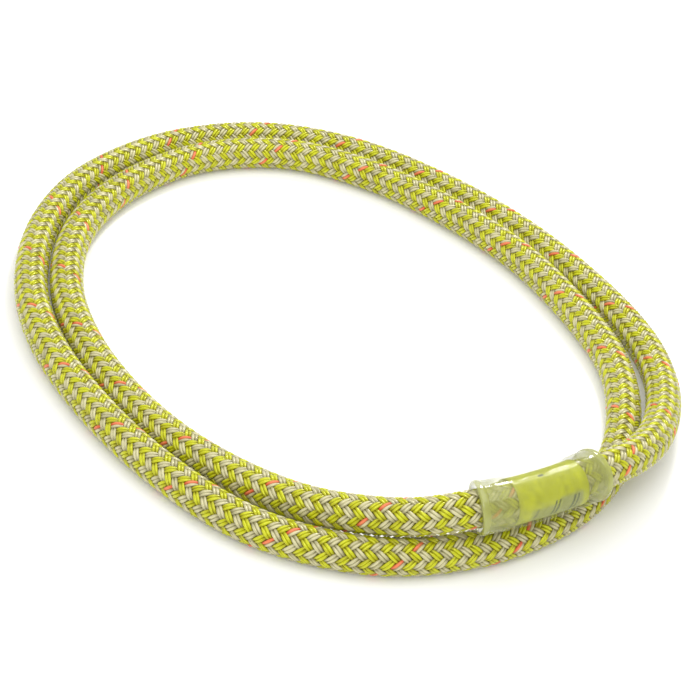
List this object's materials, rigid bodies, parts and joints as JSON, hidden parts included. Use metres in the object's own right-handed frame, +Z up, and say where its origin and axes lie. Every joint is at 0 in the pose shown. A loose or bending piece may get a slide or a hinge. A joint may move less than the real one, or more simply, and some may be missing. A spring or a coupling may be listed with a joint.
{
  "type": "endless rope sling",
  "caption": "Endless sling of round double-braid rope with a spliced joint under a labelled clear sleeve, laid down in two turns.",
  "frame": {"origin": "middle of the two turns in plan, on the ground that the rope lies on", "axes": "+Z up from the ground, +Y from the sleeve side to the far side of the turns, +X to the right seen from the sleeve side"},
  "size_m": [0.316, 0.3645, 0.0398],
  "materials": {
    "cover": "glossy polyester yarns, yellow and warm grey, with a fine orange tracer",
    "core": "undyed polyester yarns",
    "tail": "thinned cover yarns",
    "twine": "waxed polyester twine",
    "label": null,
    "sleeve": "milky clear shrink tube"
  },
  "bodies": {
    "root": {"cover_braid": "cover", "core_braid": "core", "buried_tail_left": "tail", "buried_tail_right": "tail", "lock_stitching_left": "twine", "lock_stitching_right": "twine", "identification_label": "label", "shrink_sleeve": "sleeve"}
  },
  "joints": []
}
